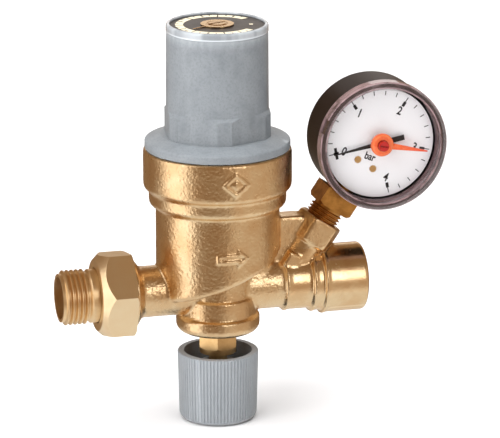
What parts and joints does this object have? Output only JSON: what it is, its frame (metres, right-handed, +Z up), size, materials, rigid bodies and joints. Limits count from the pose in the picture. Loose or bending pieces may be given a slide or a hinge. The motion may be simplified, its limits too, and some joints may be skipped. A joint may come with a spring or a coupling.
{
  "type": "pressure reducing valve",
  "caption": "Brass pressure reducing and filling valve with a screwed grey bonnet, inlet union, tilted dial gauge and a shut-off knob underneath.",
  "frame": {"origin": "where the pipe line crosses the upright axis of the body", "axes": "+X flow direction from the inlet union to the outlet, +Z up towards the bonnet, -Y the side the gauge is read from"},
  "size_m": [0.1485, 0.057, 0.155],
  "materials": {
    "cast_brass": "sand-cast and tumbled brass with a fine orange-peel grain",
    "turned_brass": "turned brass",
    "gauge_brass": "darker machined brass",
    "grey_plastic": "satin moulded grey plastic",
    "knob_plastic": "satin moulded grey plastic, ribbed",
    "ring_plastic": "glossy grey plastic",
    "dial_black": "black printed disc with a pale scale",
    "gilt_washer": "polished brass washer with a pale hand",
    "spring_steel": "drawn spring wire",
    "plated_steel": "zinc-plated steel",
    "stainless_mesh": "stainless sheet, perforated",
    "rubber": "black rubber",
    "fibre": "red-brown fibre gasket",
    "white_plastic": "natural acetal",
    "black_case": "black moulded plastic, satin gloss",
    "clear_lens": "clear plastic lens with a snap rim",
    "dial_white": "white printed dial",
    "needle_black": "black painted needle",
    "pointer_red": "orange-red plastic"
  },
  "bodies": {
    "valve": {"valve_body": "cast_brass", "bonnet": "grey_plastic", "dial_ring": "ring_plastic", "setting_dial": "dial_black", "setting_spring": "spring_steel", "slip_ring": "white_plastic", "diaphragm": "rubber", "seat_cartridge": "white_plastic", "cartridge_o_ring": "rubber", "stem_guide": "white_plastic", "strainer": "stainless_mesh", "gland": "turned_brass", "gland_o_ring": "rubber", "check_housing": "white_plastic", "check_o_ring": "rubber", "check_spring": "spring_steel", "gauge_stem": "gauge_brass", "gauge_washer": "fibre", "gauge_case": "black_case", "gauge_lens": "clear_lens", "dial_plate": "dial_white", "dial_screws": "gauge_brass", "movement_front_plate": "gauge_brass", "movement_back_plate": "gauge_brass", "bourdon_tube": "gauge_brass", "tube_link": "gauge_brass", "hairspring": "spring_steel"},
    "setting_screw": {"setting_screw": "turned_brass", "setting_indicator": "gilt_washer"},
    "spring_carrier": {"spring_carrier": "turned_brass"},
    "regulator": {"obturator": "turned_brass", "obturator_seal": "rubber", "diaphragm_washer": "turned_brass", "spring_plate": "plated_steel", "stem_nut": "plated_steel"},
    "shutoff_plug": {"shutoff_plug": "turned_brass", "plug_seal": "rubber"},
    "shutoff_spindle": {"shutoff_spindle": "turned_brass", "knob": "knob_plastic", "knob_screw": "plated_steel"},
    "tailpiece": {"inlet_tailpiece": "turned_brass", "union_gasket": "fibre"},
    "union_nut": {"union_nut": "cast_brass"},
    "check_poppet": {"check_poppet": "white_plastic"},
    "gauge_sector": {"sector_gear": "gauge_brass"},
    "gauge_needle": {"pinion_shaft": "gauge_brass", "gauge_needle": "needle_black"},
    "set_pointer": {"set_pointer": "pointer_red"}
  },
  "joints": [
    {"name": "setting_turn", "type": "hinge", "parent": "valve", "child": "setting_screw", "pos_m": [0, 0, 0.09], "axis": [0, 0, -1], "range_deg": [-107, 182]},
    {"name": "carrier_slide", "type": "slide", "parent": "valve", "child": "spring_carrier", "axis": [0, 0, -1], "range_m": [-0.00176, 0.00301], "deforming": ["setting_spring"]},
    {"name": "regulator_lift", "type": "slide", "parent": "valve", "child": "regulator", "axis": [0, 0, 1], "range_m": [0, 0.0025], "stiffness_N_per_m": 1000, "springref_m": -0.002, "deforming": ["diaphragm"]},
    {"name": "shutoff_lift", "type": "slide", "parent": "valve", "child": "shutoff_plug", "axis": [0, 0, 1], "range_m": [0, 0.0029]},
    {"name": "shutoff_turn", "type": "hinge", "parent": "shutoff_plug", "child": "shutoff_spindle", "pos_m": [0, 0, -0.04], "axis": [0, 0, 1], "range_deg": [0, 700]},
    {"name": "tailpiece_slide", "type": "slide", "parent": "valve", "child": "tailpiece", "axis": [-1, 0, 0], "range_m": [0, 0.00907]},
    {"name": "union_nut_turn", "type": "hinge", "parent": "tailpiece", "child": "union_nut", "pos_m": [-0.04, 0, 0], "axis": [-1, 0, 0], "range_deg": [0, 1804]},
    {"name": "check_opening", "type": "slide", "parent": "valve", "child": "check_poppet", "axis": [1, 0, 0], "range_m": [0, 0.0025], "stiffness_N_per_m": 60, "springref_m": -0.001, "deforming": ["check_spring"]},
    {"name": "sector_turn", "type": "hinge", "parent": "valve", "child": "gauge_sector", "pos_m": [0.06953, 0, 0.06632], "axis": [0, 1, 0], "range_deg": [-54, 0], "stiffness_Nm_per_rad": 0.001, "springref_deg": 8.59},
    {"name": "needle_turn", "type": "hinge", "parent": "valve", "child": "gauge_needle", "pos_m": [0.06148, 0, 0.05439], "axis": [0, 1, 0], "range_deg": [0, 270.5]},
    {"name": "set_pointer_turn", "type": "hinge", "parent": "valve", "child": "set_pointer", "pos_m": [0.06148, 0, 0.05439], "axis": [0, 1, 0], "range_deg": [-202.5, 67.5]}
  ],
  "couplings": [
    {"joint": "setting_turn", "follows": "carrier_slide", "rad_per_m": 1047.2},
    {"joint": "shutoff_turn", "follows": "shutoff_lift", "rad_per_m": 4188.8},
    {"joint": "union_nut_turn", "follows": "tailpiece_slide", "rad_per_m": 3463.7},
    {"joint": "needle_turn", "follows": "sector_turn", "ratio": -5}
  ]
}
